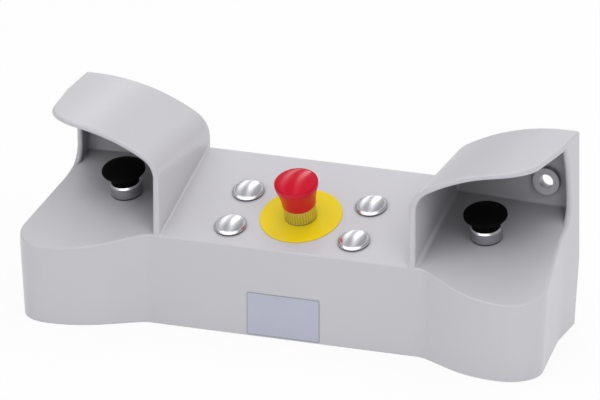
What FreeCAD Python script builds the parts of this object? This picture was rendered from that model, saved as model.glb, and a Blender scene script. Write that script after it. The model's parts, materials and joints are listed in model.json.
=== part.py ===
import FreeCAD, Part
import os
from math import cos, radians, sin, sqrt, tan
from FreeCAD import Placement, Rotation, Vector

# Two hand control station, in millimetres. X runs to the operator's right, Y away from the
# operator and Z up. The origin is on the underside, straight below the emergency stop.

# Body outline in plan, at the underside
FRONT_Y = -47.7
BACK_Y = 79.0
BACK_HALF_WIDTH = 233.6
LOBE_SPAN = 101.6
LOBE_FLARE = 16.8
LOBE_REACH = 32.6
LOBE_START_X = BACK_HALF_WIDTH - LOBE_SPAN
LOBE_CORNER_X = BACK_HALF_WIDTH + LOBE_FLARE
LOBE_FRONT_Y = FRONT_Y - LOBE_REACH
LOBE_ANGLE = 30.6
LOBE_INNER_RADIUS = 22.0
LOBE_FRONT_RADIUS = 98.0
LOBE_CORNER_RADIUS = 30.0
SIDE_ANGLE = 8.6
SIDE_RADIUS = 100.0

# Heights: the decks, the bosses and the parting line hang from the top of the hoods
HOOD_TOP_Z = 184.6
DECK_DROP = 83.3
LOBE_DECK_DROP = 100.0
PARTING_DROP = 18.6
HOOD_HOLE_DROP = 47.6
HEADROOM = 10.4

# Walls
WALL = 5.0
BACK_WALL = 6.0
EDGE_RADIUS = 2.2
FOOT_RADIUS = 3.0
DECK_FOOT_RADIUS = 1.6
INNER_FOOT_RADIUS = 4.0
DECK_BACK_RADIUS = 5.0
SHARP_ANGLE = 20.0

# Centre deck, which slopes down to the operator
DECK_Z = HOOD_TOP_Z - DECK_DROP
DECK_SLOPE = 19.8

# Lobe decks, one under each hood, with their height at the front of the inner side
LOBE_DECK_Z = HOOD_TOP_Z - LOBE_DECK_DROP
LOBE_DECK_SLOPE = 15.0
LOBE_DECK_FALL = 1.9

# Hoods
HOOD_SPAN = 115.0
HOOD_WALL_TAPER = 2.3
HOOD_WALL_FRONT_X = BACK_HALF_WIDTH - HOOD_SPAN
HOOD_WALL_BACK_X = HOOD_WALL_FRONT_X - HOOD_WALL_TAPER
HOOD_SIDE_WALL = 6.2
HOOD_CORNER_RADIUS = 27.0
HOOD_ROOF_RADIUS = 190.0
CREST_INSET = 4.6
HOOD_CREST_X = BACK_HALF_WIDTH - CREST_INSET
ROOF_INSET = 5.4
ROOF_CORNER_X = BACK_HALF_WIDTH - ROOF_INSET
ROOF_CORNER_RADIUS = 36.0
ROOF_SIDE_ANGLE = 6.1
SIDE_WALL_DEPTH = 23.2
SIDE_EDGE_Y = BACK_Y - SIDE_WALL_DEPTH
SIDE_FOOT_RADIUS = 18.0
SIDE_EDGE_RADIUS = 130.0

# Mould draft of the sides: they widen up to the parting line, then narrow
PARTING_Z = LOBE_DECK_Z - PARTING_DROP
PARTING_SPREAD = 4.0
TOP_SPREAD = 2.8
COLUMN_TOP = HOOD_TOP_Z + HEADROOM

# Bosses that stand out from the back wall inside each hood, bored through
HOOD_HOLE_INSET = 24.6
HOOD_HOLE_X = BACK_HALF_WIDTH - HOOD_HOLE_INSET
HOOD_HOLE_Z = HOOD_TOP_Z - HOOD_HOLE_DROP
HOOD_HOLE_RADIUS = 6.7
HOOD_BOSS_RADIUS = 12.5
HOOD_BOSS_LENGTH = 5.0

# Underside: a plate let into the rim on a gasket, held by countersunk screws in bosses
RIM_LIP = 2.2
PLATE_GAP = 0.3
PLATE_THICKNESS = 3.0
GASKET_THICKNESS = 2.0
SCREW_RADIUS = 2.0
SCREW_HEAD_RADIUS = 3.8
SCREW_LENGTH = 14.0
SCREW_BOSS_RADIUS = 5.5
THREAD_GAP = 0.05
SCREW_INSET = 13.0
LOBE_SCREW_INSET = 22.0
FIXING_RADIUS = 3.3
FIXING_X = 150.0
FIXING_Y = 40.0

# Command devices for a 22 mm hole
HOLE_RADIUS = 11.15
BARREL_RADIUS = 10.95
BARREL_BORE = 8.0
COLLAR_RADIUS = 14.75
COLLAR_CHAMFER = 1.4
COLLAR_FLOOR = 2.0
CAP_OVERLAP = 2.5
SLIDING_GAP = 0.05
CLEARANCE = 0.35
SEAL_THICKNESS = 0.8
SEAL_RADIUS = 14.3
BARREL_DEPTH = 17.0
NUT_RADIUS = 15.0
NUT_THICKNESS = 4.0
HOLDER_WIDTH = 30.0
HOLDER_THICKNESS = 10.0
STEM_GUIDE = 13.0
STEM_ROD_RADIUS = 6.2
STEM_PEG_RADIUS = 5.0
STEM_PEG_LENGTH = 5.0
LEG_RADIUS = 1.2
LEG_OFFSET = 5.1
LEG_LENGTH = 7.5
SPRING_WIRE = 1.0
SPRING_TURNS = 4
CONTACT_WIDTH = 10.0
CONTACT_LENGTH = 38.0
CONTACT_HEIGHT = 26.0
CONTACT_CHAMFER = 1.1
CONTACT_SCREW_INSET = 3.7

# Palm buttons, one on each lobe deck
PALM_OFFSET = 53.4
PALM_X = HOOD_WALL_FRONT_X + PALM_OFFSET
PALM_Y = 12.5
PALM_TRAVEL = 4.2
PALM_COLLAR_HEIGHT = 12.0
PALM_NECK_RADIUS = 12.2
PALM_FLARE_RADIUS = 2.5
PALM_RIM_RADIUS = 20.0
PALM_RIM_Z = 25.4
PALM_RIM_UNDER = 1.8
PALM_RIM_OVER = 0.6
PALM_RIM_ROUND = 0.8
PALM_TOP_Z = 28.6
PALM_CROWN_RADIUS = 12.0
PALM_DOME_RADIUS = 22.0

# Emergency stop on the centre deck, with its round backing plate
STOP_TRAVEL = 4.5
STOP_COLLAR_HEIGHT = 14.0
STOP_SKIRT_RADIUS = 15.5
STOP_WAIST_RADIUS = 16.5
STOP_WAIST_Z = 26.4
STOP_FLARE_RADIUS = 30.0
STOP_RIM_RADIUS = 20.0
STOP_RIM_Z = 38.4
STOP_RIM_UNDER = 2.5
STOP_RIM_OVER = 1.5
STOP_RIM_ROUND = 2.5
STOP_TOP_Z = 43.4
STOP_CROWN_RADIUS = 12.0
STOP_DOME_RADIUS = 24.0
DISK_RADIUS = 37.5
DISK_THICKNESS = 1.0

# Blanking plugs in the four spare holes round the stop
PLUG_X = 58.8
PLUG_PITCH = 50.0
PLUG_EDGE = 1.6
PLUG_EDGE_ROUND = 0.8
PLUG_HEIGHT = 5.6
PLUG_CROWN_RADIUS = 9.1
PLUG_DOME_RADIUS = 14.0

# Bare rating plate on the front
RATING_WIDTH = 69.0
RATING_HEIGHT = 40.0
RATING_LOW_Z = 1.5
RATING_THICKNESS = 0.5
RATING_RADIUS = 1.5

# Cable gland through the back
GLAND_Z = 36.0
GLAND_HOLE_RADIUS = 10.25
GLAND_THREAD_RADIUS = 9.95
GLAND_FLATS = 24.0
GLAND_HEX_LENGTH = 6.0
GLAND_CAP_LENGTH = 12.0
GLAND_BORE_RADIUS = 6.5
CABLE_RADIUS = 4.5
LOCKNUT_THICKNESS = 5.0

# Terminal strip on a rail inside
RAIL_X = 90.0
RAIL_Y = 16.0
RAIL_LENGTH = 84.0
RAIL_WIDTH = 35.0
RAIL_HEIGHT = 7.5
RAIL_SHEET = 1.2
TERMINAL_COUNT = 10
TERMINAL_PITCH = 6.2
TERMINAL_HEIGHT = 38.0
TERMINAL_WIDTH = 44.0
TERMINAL_SHOULDER = 0.6
TERMINAL_WELL = 0.7

# Room beyond the solids for the shapes that cut them
BEYOND = 60.0


def across(height):
    """Place plan points at one height."""
    return lambda x, y: Vector(x, y, height)


def along_x(x):
    """Place side view points on a plane across X."""
    return lambda y, z: Vector(x, y, z)


def along_y(y):
    """Place front view points on a plane across Y."""
    return lambda x, z: Vector(x, y, z)


def rounded_wire(corners, place):
    """Closed wire round (a, b, radius) corners, with an arc at each corner that has a radius."""
    points = [place(a, b) for a, b, radius in corners]
    stops = []
    for i, (a, b, radius) in enumerate(corners):
        if radius == 0:
            stops.append((points[i], None, points[i]))
            continue
        back = (points[i - 1] - points[i]).normalize()
        ahead = (points[(i + 1) % len(points)] - points[i]).normalize()
        half = back.getAngle(ahead) / 2
        bisector = (back + ahead).normalize()
        reach = radius / tan(half)
        middle = points[i] + bisector * (radius / sin(half) - radius)
        stops.append((points[i] + back * reach, middle, points[i] + ahead * reach))
    edges = []
    for i, (start, middle, end) in enumerate(stops):
        if middle is not None:
            edges.append(Part.Arc(start, middle, end).toShape())
        edges.append(Part.makeLine(end, stops[(i + 1) % len(stops)][0]))
    return Part.Wire(edges)


def prism(wire, travel):
    """Solid swept from a flat closed wire."""
    return Part.Face(wire).extrude(travel)


def mirrored(shape):
    """The same piece on the other hand."""
    return shape.mirror(Vector(0, 0, 0), Vector(1, 0, 0))


def body_outline(spread, height):
    """Plan outline of the body: straight centre, two round lobes, sides that run in to the back."""
    lobe_x = LOBE_START_X + (FRONT_Y - LOBE_FRONT_Y) / tan(radians(LOBE_ANGLE))
    side_run = (LOBE_CORNER_X - BACK_HALF_WIDTH) / tan(radians(SIDE_ANGLE))
    right = [
        (LOBE_START_X, FRONT_Y, LOBE_INNER_RADIUS),
        (lobe_x, LOBE_FRONT_Y, LOBE_FRONT_RADIUS),
        (LOBE_CORNER_X + spread, LOBE_FRONT_Y, LOBE_CORNER_RADIUS),
        (BACK_HALF_WIDTH + spread, LOBE_FRONT_Y + side_run, SIDE_RADIUS),
        (BACK_HALF_WIDTH + spread, BACK_Y, 0),
    ]
    left = [(-x, y, radius) for x, y, radius in reversed(right)]
    return rounded_wire(right + left, across(height))


def inset_wire(wire, inset):
    """The wire moved inwards by a wall."""
    if inset == 0:
        return wire
    return Part.Face(wire).makeOffset2D(-inset).Wires[0]


def column(inset):
    """Full height solid of the body outline with its drafts, inset by a wall."""
    low = inset_wire(body_outline(0, 0), inset)
    part_line = inset_wire(body_outline(PARTING_SPREAD, PARTING_Z), inset)
    high = inset_wire(body_outline(TOP_SPREAD, COLUMN_TOP), inset)
    return Part.makeLoft([low, part_line, high], True, True)


def lobe_deck_z(x, y):
    """Height of the right lobe's deck."""
    rise = tan(radians(LOBE_DECK_SLOPE)) * (y - FRONT_Y)
    return LOBE_DECK_Z + rise - tan(radians(LOBE_DECK_FALL)) * (x - HOOD_WALL_FRONT_X)


def centre_deck_z(y):
    """Height of the centre deck."""
    return DECK_Z + tan(radians(DECK_SLOPE)) * y


def hood_wall_x(y):
    """Outer face of the hood's inner wall, which splays a little to the front."""
    splay = (HOOD_WALL_BACK_X - HOOD_WALL_FRONT_X) / (BACK_Y - FRONT_Y)
    return HOOD_WALL_FRONT_X + splay * (y - FRONT_Y)


def hood_section(side, roof, front, back):
    """Solid under the hood's skin, moved in by a side and a roof: upright side, round corner, long arc."""
    side_x = hood_wall_x(front) + side
    roof_radius = HOOD_ROOF_RADIUS - roof
    corner_radius = HOOD_CORNER_RADIUS - side
    roof_centre = Vector(HOOD_CREST_X, front, HOOD_TOP_Z - HOOD_ROOF_RADIUS)
    offset = roof_centre.x - side_x - corner_radius
    drop = sqrt((roof_radius - corner_radius) ** 2 - offset ** 2)
    corner_centre = Vector(side_x + corner_radius, front, roof_centre.z + drop)
    outward = (corner_centre - roof_centre).normalize()
    side_top = Vector(side_x, front, corner_centre.z)
    corner_end = roof_centre + outward * roof_radius
    corner_middle = corner_centre + (outward + Vector(-1, 0, 0)).normalize() * corner_radius
    crest = roof_centre + Vector(0, 0, roof_radius)
    roof_middle = roof_centre + (outward + Vector(0, 0, 1)).normalize() * roof_radius
    far_x = LOBE_CORNER_X + BEYOND
    far_top = Vector(far_x, front, crest.z)
    far_low = Vector(far_x, front, -BEYOND)
    side_low = Vector(side_x, front, -BEYOND)
    wire = Part.Wire([
        Part.makeLine(side_low, side_top),
        Part.Arc(side_top, corner_middle, corner_end).toShape(),
        Part.Arc(corner_end, roof_middle, crest).toShape(),
        Part.makeLine(crest, far_top),
        Part.makeLine(far_top, far_low),
        Part.makeLine(far_low, side_low),
    ])
    travel = Vector(hood_wall_x(back) - hood_wall_x(front), back - front, 0)
    return prism(wire, travel)


def above_lobe_deck():
    """Everything over the right lobe's deck plane."""
    low_x = 0
    high_x = LOBE_CORNER_X + BEYOND
    low_y = LOBE_FRONT_Y - BEYOND
    high_y = BACK_Y + BEYOND
    points = [(low_x, low_y), (high_x, low_y), (high_x, high_y), (low_x, high_y)]
    corners = [Vector(x, y, lobe_deck_z(x, y)) for x, y in points]
    return prism(Part.makePolygon(corners + corners[:1]), Vector(0, 0, COLUMN_TOP))


def inner_foot():
    """Filling along the foot of the hood's inner wall: a hollow round face that fades out in front."""
    start_y = FRONT_Y + EDGE_RADIUS
    sections = []
    for y, radius in (
        (start_y, INNER_FOOT_RADIUS / 4),
        (start_y + 2 * INNER_FOOT_RADIUS, INNER_FOOT_RADIUS),
        (BACK_Y - BACK_WALL / 2, INNER_FOOT_RADIUS),
    ):
        x = hood_wall_x(y) + HOOD_SIDE_WALL
        corner = Vector(x, y, lobe_deck_z(x, y))
        on_deck = Vector(x + radius, y, lobe_deck_z(x + radius, y))
        on_wall = corner + Vector(0, 0, radius)
        centre = on_deck + on_wall - corner
        middle = centre + (corner - centre).normalize() * radius
        buried = corner - Vector(WALL / 2, 0, WALL / 2)
        under_deck = Vector(on_deck.x, y, buried.z)
        in_wall = Vector(buried.x, y, on_wall.z)
        sections.append(Part.Wire([
            Part.Arc(on_wall, middle, on_deck).toShape(),
            Part.makeLine(on_deck, under_deck),
            Part.makeLine(under_deck, buried),
            Part.makeLine(buried, in_wall),
            Part.makeLine(in_wall, on_wall),
        ]))
    return Part.makeLoft(sections, True, True)


def roof_plan():
    """The hood's outline seen from above, as an upright solid."""
    side_run = tan(radians(ROOF_SIDE_ANGLE)) * (BACK_Y + BEYOND - FRONT_Y)
    wire = rounded_wire([
        (0, FRONT_Y, 0),
        (ROOF_CORNER_X, FRONT_Y, ROOF_CORNER_RADIUS),
        (ROOF_CORNER_X + side_run, BACK_Y + BEYOND, 0),
        (0, BACK_Y + BEYOND, 0),
    ], across(-BEYOND))
    return prism(wire, Vector(0, 0, COLUMN_TOP + 2 * BEYOND))


def side_window():
    """Open space beside the hood: its back edge rises from the deck in a small arc and leans in."""
    slope = radians(LOBE_DECK_SLOPE)
    x = BACK_HALF_WIDTH - BEYOND
    low_y = LOBE_FRONT_Y - BEYOND
    centre_y = SIDE_EDGE_Y - SIDE_FOOT_RADIUS
    foot_y = centre_y + SIDE_FOOT_RADIUS * sin(slope)
    foot = Vector(x, foot_y, lobe_deck_z(x, foot_y))
    centre = foot + Vector(0, -sin(slope), cos(slope)) * SIDE_FOOT_RADIUS
    bulge = (slope - radians(90)) / 2
    turn = centre + Vector(0, cos(bulge), sin(bulge)) * SIDE_FOOT_RADIUS
    upright = Vector(x, SIDE_EDGE_Y, centre.z)
    rise = COLUMN_TOP - centre.z
    lean_centre = upright - Vector(0, SIDE_EDGE_RADIUS, 0)
    top = lean_centre + Vector(0, sqrt(SIDE_EDGE_RADIUS ** 2 - rise ** 2), rise)
    halfway = (upright + top) * 0.5 - lean_centre
    lean = lean_centre + halfway.normalize() * SIDE_EDGE_RADIUS
    low = Vector(x, low_y, lobe_deck_z(x, low_y))
    high = Vector(x, low_y, top.z)
    wire = Part.Wire([
        Part.makeLine(low, foot),
        Part.Arc(foot, turn, upright).toShape(),
        Part.Arc(upright, lean, top).toShape(),
        Part.makeLine(top, high),
        Part.makeLine(high, low),
    ])
    span = 2 * BEYOND + LOBE_CORNER_X - BACK_HALF_WIDTH
    return prism(wire, Vector(span, 0, -span * tan(radians(LOBE_DECK_FALL))))


def right_half():
    """Right half of the housing, solid inside: half the centre block, the lobe and its hood."""
    body = column(0).common(hood_section(0, 0, LOBE_FRONT_Y - BEYOND, BACK_Y + BEYOND))
    over_deck = above_lobe_deck()
    body = body.cut(over_deck.cut(roof_plan()))
    inner_side_x = BACK_HALF_WIDTH + TOP_SPREAD - WALL
    behind_side = Part.makeBox(inner_side_x, 4 * BEYOND, 4 * BEYOND, Vector(0, -2 * BEYOND, 0))
    under_roof = hood_section(HOOD_SIDE_WALL, WALL, LOBE_FRONT_Y - BEYOND, BACK_Y - BACK_WALL)
    hollow = under_roof.common(over_deck).common(behind_side.fuse(side_window()))
    body = body.cut(hollow)
    centre = prism(rounded_wire([
        (FRONT_Y, 0, 0),
        (BACK_Y, 0, 0),
        (BACK_Y, centre_deck_z(BACK_Y), DECK_BACK_RADIUS),
        (FRONT_Y, centre_deck_z(FRONT_Y), 0),
    ], along_x(0)), Vector(HOOD_WALL_FRONT_X + WALL / 2, 0, 0))
    return body.fuse(centre).removeSplitter()


def sharp_edges(shape, inward):
    """The edges that turn more than the sharp angle, either the inward or the outward ones."""
    picked = []
    for edge in shape.Edges:
        middle = edge.valueAt((edge.FirstParameter + edge.LastParameter) / 2)
        faces = shape.ancestorsOfType(edge, Part.Face)
        if len(faces) != 2:
            continue
        first, second = [face.normalAt(*face.Surface.parameter(middle)) for face in faces]
        if first.getAngle(second) < radians(SHARP_ANGLE):
            continue
        aside = (first - second).normalize() * THREAD_GAP
        sides = [shape.isInside(middle + step, THREAD_GAP / 10, False) for step in (aside, -aside)]
        if sides == [inward, inward]:
            picked.append(edge)
    return picked


def rim_edges(shape):
    """The sharp outward edges, apart from those of the back, the underside and the middle plane."""
    back = BACK_Y - DECK_BACK_RADIUS * 2
    picked = []
    for edge in sharp_edges(shape, False):
        box = edge.BoundBox
        if box.XMax > THREAD_GAP and box.ZMax > THREAD_GAP and box.YMin < back:
            picked.append(edge)
    return picked


def deck_foot_edges(shape):
    """The inward edges at the hood's foot on the centre deck."""
    picked = []
    for edge in sharp_edges(shape, True):
        box = edge.BoundBox
        if box.XMax < HOOD_WALL_FRONT_X + THREAD_GAP and box.YMin < 0:
            picked.append(edge)
    return picked


def back_wall_edges(shape):
    """The inward edges round the hood's back wall."""
    wall_y = BACK_Y - BACK_WALL
    picked = []
    for edge in sharp_edges(shape, True):
        box = edge.BoundBox
        if abs(box.YMin - wall_y) + abs(box.YMax - wall_y) < THREAD_GAP:
            picked.append(edge)
    return picked


def both_hands(shape):
    """A piece and its mirror image."""
    return [shape, mirrored(shape)]


def interior():
    """Hollow of the housing: a wall inside the outline and a wall under each deck."""
    drop = WALL / cos(radians(DECK_SLOPE))
    low_y = FRONT_Y - BEYOND
    high_y = BACK_Y + BEYOND
    under_centre = prism(rounded_wire([
        (low_y, -BEYOND, 0),
        (high_y, -BEYOND, 0),
        (high_y, centre_deck_z(high_y) - drop, 0),
        (low_y, centre_deck_z(low_y) - drop, 0),
    ], along_x(-HOOD_WALL_BACK_X)), Vector(2 * HOOD_WALL_BACK_X, 0, 0))
    block = Part.makeBox(
        LOBE_CORNER_X + BEYOND, 4 * BEYOND, 4 * BEYOND, Vector(0, -2 * BEYOND, -BEYOND))
    slab = above_lobe_deck()
    slab.translate(Vector(0, 0, -WALL / cos(radians(LOBE_DECK_SLOPE))))
    lobes = both_hands(block.cut(slab))
    ceiling = under_centre.fuse(lobes)
    return column(WALL).common(ceiling)


def screw_places():
    """Plan positions of the base screws: two under each lobe and four under the centre."""
    back = BACK_Y - SCREW_INSET
    right = [
        (BACK_HALF_WIDTH - SCREW_INSET, LOBE_FRONT_Y + LOBE_SCREW_INSET),
        (BACK_HALF_WIDTH - SCREW_INSET, back),
        (HOOD_WALL_FRONT_X - SCREW_INSET, FRONT_Y + SCREW_INSET),
        (HOOD_WALL_FRONT_X - SCREW_INSET, back),
    ]
    return [(side * x, y) for x, y in right for side in (1, -1)]


def rod(radius, start, travel):
    """Round bar from a point along a vector."""
    return Part.makeCylinder(radius, travel.Length, start, travel)


def base_recess(inset, low_z, high_z):
    """Flat slab of the underside's outline, inset."""
    wire = inset_wire(body_outline(0, 0), inset)
    slab = prism(wire, Vector(0, 0, high_z - low_z))
    slab.translate(Vector(0, 0, low_z))
    return slab


def hood_holes(radius, low_y, high_y):
    """Round bars through the back wall of both hoods."""
    start = Vector(HOOD_HOLE_X, low_y, HOOD_HOLE_Z)
    return both_hands(rod(radius, start, Vector(0, high_y - low_y, 0)))


def device_axes():
    """Placements of the command devices: origin on the deck, local Z out of it."""
    lean = Vector(tan(radians(LOBE_DECK_FALL)), -tan(radians(LOBE_DECK_SLOPE)), 1)
    turn = Rotation(Vector(0, 0, 1), lean)
    opposite = Rotation(Vector(0, 0, 1), Vector(-lean.x, lean.y, lean.z))
    height = lobe_deck_z(PALM_X, PALM_Y)
    axes = {
        "palm_right": Placement(Vector(PALM_X, PALM_Y, height), turn),
        "palm_left": Placement(Vector(-PALM_X, PALM_Y, height), opposite),
        "stop": deck_place(0, 0),
    }
    for i, (x, run) in enumerate([(-1, 1), (1, 1), (-1, -1), (1, -1)]):
        axes["plug_%d" % (i + 1)] = deck_place(x * PLUG_X, run * PLUG_PITCH / 2)
    return axes


def deck_place(x, run):
    """Placement on the centre deck, at a distance up the slope from the stop's axis."""
    slope = radians(DECK_SLOPE)
    where = Vector(x, run * cos(slope), DECK_Z + run * sin(slope))
    return Placement(where, Rotation(Vector(1, 0, 0), DECK_SLOPE))


def placed(shape, axis):
    """A copy of a device piece moved to its axis."""
    copy = shape.copy()
    copy.Placement = axis.multiply(copy.Placement)
    return copy


def bored(radius):
    """Drill for the hole of one device, through the deck and what is clamped under it."""
    return Part.makeCylinder(radius, 2 * BEYOND, Vector(0, 0, -BEYOND))


def housing():
    """Moulded housing: hooded lobes either side of a sloped deck, hollow from below."""
    half = right_half()
    half = half.makeFillet(FOOT_RADIUS, back_wall_edges(half))
    half = half.makeFillet(DECK_FOOT_RADIUS, deck_foot_edges(half))
    half = half.makeFillet(EDGE_RADIUS, rim_edges(half))
    half = half.fuse(inner_foot()).removeSplitter()
    whole = half.fuse(mirrored(half)).removeSplitter()
    posts = [rod(SCREW_BOSS_RADIUS, Vector(x, y, 0), Vector(0, 0, HOOD_TOP_Z)) for x, y in screw_places()]
    posts = [post.common(whole) for post in posts]
    hollow = interior().cut(Part.makeCompound(posts))
    whole = whole.cut(hollow)
    wall_y = BACK_Y - BACK_WALL
    whole = whole.fuse(hood_holes(HOOD_BOSS_RADIUS, wall_y - HOOD_BOSS_LENGTH, wall_y + BACK_WALL / 2))
    cuts = hood_holes(HOOD_HOLE_RADIUS, wall_y - 2 * HOOD_BOSS_LENGTH, BACK_Y + BACK_WALL)
    cuts.append(base_recess(RIM_LIP, -WALL, PLATE_THICKNESS))
    seat = base_recess(RIM_LIP, PLATE_THICKNESS, PLATE_THICKNESS + GASKET_THICKNESS)
    for x, y in screw_places():
        foot = Vector(x, y, PLATE_THICKNESS)
        seat = seat.cut(rod(SCREW_BOSS_RADIUS, foot, Vector(0, 0, GASKET_THICKNESS)))
        depth = SCREW_LENGTH - PLATE_THICKNESS + SCREW_RADIUS
        cuts.append(rod(SCREW_RADIUS + THREAD_GAP, foot, Vector(0, 0, depth)))
    cuts.append(seat)
    for axis in device_axes().values():
        drill = Part.makeCylinder(HOLE_RADIUS, 4 * WALL, Vector(0, 0, -2 * WALL))
        cuts.append(placed(drill, axis))
    back_y = BACK_Y - 2 * WALL
    cuts.append(rod(GLAND_HOLE_RADIUS, Vector(0, back_y, GLAND_Z), Vector(0, 4 * WALL, 0)))
    return whole.cut(cuts).removeSplitter()


def base_plate():
    """Closing plate with countersunk screw holes and four fixing holes."""
    plate = base_recess(RIM_LIP + PLATE_GAP, 0, PLATE_THICKNESS)
    cuts = []
    for x, y in screw_places():
        cuts.append(screw(x, y, SCREW_RADIUS + PLATE_GAP, SCREW_HEAD_RADIUS + PLATE_GAP))
    for x, y in fixing_places():
        cuts.append(rod(FIXING_RADIUS, Vector(x, y, -WALL), Vector(0, 0, 4 * WALL)))
    return plate.cut(cuts)


def fixing_places():
    """Plan positions of the holes that fix the station to a stand."""
    middle = (BACK_Y + FRONT_Y) / 2
    return [(x, middle + y) for x in (-FIXING_X, FIXING_X) for y in (-FIXING_Y, FIXING_Y)]


def screw(x, y, radius, head_radius):
    """Countersunk screw pointing up, its head flush with the underside."""
    taper = head_radius - radius
    head = Part.makeCone(head_radius, radius, taper, Vector(x, y, 0))
    return head.fuse(rod(radius, Vector(x, y, 0), Vector(0, 0, SCREW_LENGTH)))


def base_screws():
    """The base screws, each with a hexagon socket."""
    solids = []
    for x, y in screw_places():
        socket = hexagon_bar(SCREW_RADIUS, SCREW_RADIUS, Vector(x, y, 0), Rotation())
        solids.append(screw(x, y, SCREW_RADIUS, SCREW_HEAD_RADIUS).cut(socket))
    return solids


def hexagon_bar(across_flats, length, start, turn):
    """Hexagonal bar from a point along the turned Z axis."""
    radius = across_flats / (2 * cos(radians(30)))
    corners = [Vector(radius * cos(radians(60 * i)), radius * sin(radians(60 * i)), 0) for i in range(7)]
    bar = prism(Part.makePolygon(corners), Vector(0, 0, length))
    bar.Placement = Placement(start, turn)
    return bar


def base_gasket():
    """Gasket round the rim seat, clear of the screw bosses."""
    low = PLATE_THICKNESS
    high = PLATE_THICKNESS + GASKET_THICKNESS
    ring = base_recess(RIM_LIP + PLATE_GAP, low, high)
    return ring.cut(base_recess(WALL, low, high))


def revolved(profile):
    """Solid turned round Z from a closed chain of (radius, z) points, each with a corner radius."""
    wire = rounded_wire(profile, lambda radius, z: Vector(radius, 0, z))
    return Part.Face(wire).revolve(Vector(0, 0, 0), Vector(0, 0, 1), 360)


def collar(base_z, height):
    """Chrome collar with its threaded barrel, which passes through the deck."""
    top = base_z + height
    floor = base_z + COLLAR_FLOOR
    mouth = PALM_NECK_RADIUS + CLEARANCE
    return revolved([
        (BARREL_RADIUS, -BARREL_DEPTH, 0),
        (BARREL_RADIUS, base_z, 0),
        (COLLAR_RADIUS, base_z, 0),
        (COLLAR_RADIUS, top - COLLAR_CHAMFER, 0),
        (COLLAR_RADIUS - COLLAR_CHAMFER, top, 0),
        (mouth, top, 0),
        (mouth, floor, 0),
        (BARREL_BORE, floor, 0),
        (BARREL_BORE, SPRING_WIRE - BARREL_DEPTH, 0),
        (BARREL_BORE - SPRING_WIRE, SPRING_WIRE - BARREL_DEPTH, 0),
        (BARREL_BORE - SPRING_WIRE, -BARREL_DEPTH, 0),
    ])


def seal(inner_radius):
    """Flat rubber seal between a device and the deck."""
    disc = Part.makeCylinder(SEAL_RADIUS, SEAL_THICKNESS)
    return disc.cut(Part.makeCylinder(inner_radius, SEAL_THICKNESS))


def locking_nut():
    """Ring nut that clamps a barrel from inside, with four notches for the key."""
    nut = Part.makeCylinder(NUT_RADIUS, NUT_THICKNESS)
    nut = nut.cut(Part.makeCylinder(BARREL_RADIUS + THREAD_GAP, NUT_THICKNESS))
    notch = Part.makeBox(NUT_THICKNESS, NUT_THICKNESS, NUT_THICKNESS)
    notch.translate(Vector(NUT_RADIUS - NUT_THICKNESS / 2, -NUT_THICKNESS / 2, 0))
    for quarter in range(4):
        turned = notch.copy()
        turned.rotate(Vector(0, 0, 0), Vector(0, 0, 1), 90 * quarter)
        nut = nut.cut(turned)
    nut.translate(Vector(0, 0, -WALL - NUT_THICKNESS))
    return nut


def holder():
    """Square holder on the barrel that carries the contact blocks."""
    top = -WALL - NUT_THICKNESS - PLATE_GAP
    block = Part.makeBox(HOLDER_WIDTH, HOLDER_WIDTH, HOLDER_THICKNESS)
    block.translate(Vector(-HOLDER_WIDTH / 2, -HOLDER_WIDTH / 2, top - HOLDER_THICKNESS))
    upright = [edge for edge in block.Edges if edge.BoundBox.ZLength > HOLDER_THICKNESS / 2]
    block = block.makeFillet(EDGE_RADIUS, upright)
    return block.cut(bored(BARREL_RADIUS + THREAD_GAP))


def contact_top():
    """Local height of the contact blocks' top faces."""
    return -WALL - NUT_THICKNESS - PLATE_GAP - HOLDER_THICKNESS


def contact_block(side):
    """Contact block under one side of the holder, with a well for the stem's leg and two terminals."""
    top = contact_top()
    low_x = THREAD_GAP if side > 0 else -CONTACT_WIDTH - THREAD_GAP
    block = Part.makeBox(CONTACT_WIDTH, CONTACT_LENGTH, CONTACT_HEIGHT)
    crosswise = [edge for edge in block.Edges if edge.BoundBox.XLength > CONTACT_WIDTH / 2]
    block = block.makeChamfer(CONTACT_CHAMFER, crosswise)
    block.translate(Vector(low_x, -CONTACT_LENGTH / 2, top - CONTACT_HEIGHT))
    middle = low_x + CONTACT_WIDTH / 2
    well = LEG_LENGTH + STOP_TRAVEL
    cuts = [Part.makeCylinder(LEG_RADIUS + CLEARANCE, 2 * well, Vector(side * LEG_OFFSET, 0, top - well))]
    heads = []
    for end in (-1, 1):
        foot = Vector(middle, end * (CONTACT_LENGTH / 2 - CONTACT_SCREW_INSET), top - CONTACT_HEIGHT)
        cuts.append(Part.makeCylinder(SCREW_HEAD_RADIUS, SCREW_HEAD_RADIUS, foot))
        slot = Part.makeBox(SPRING_WIRE, SCREW_HEAD_RADIUS * 2, SPRING_WIRE)
        slot.translate(foot + Vector(-SPRING_WIRE / 2, -SCREW_HEAD_RADIUS, SPRING_WIRE))
        lifted = foot + Vector(0, 0, SPRING_WIRE)
        head = Part.makeCylinder(SCREW_HEAD_RADIUS - CLEARANCE, SCREW_HEAD_RADIUS - SPRING_WIRE, lifted)
        heads.append(head.cut(slot))
    return block.cut(cuts).fuse(heads)


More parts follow.
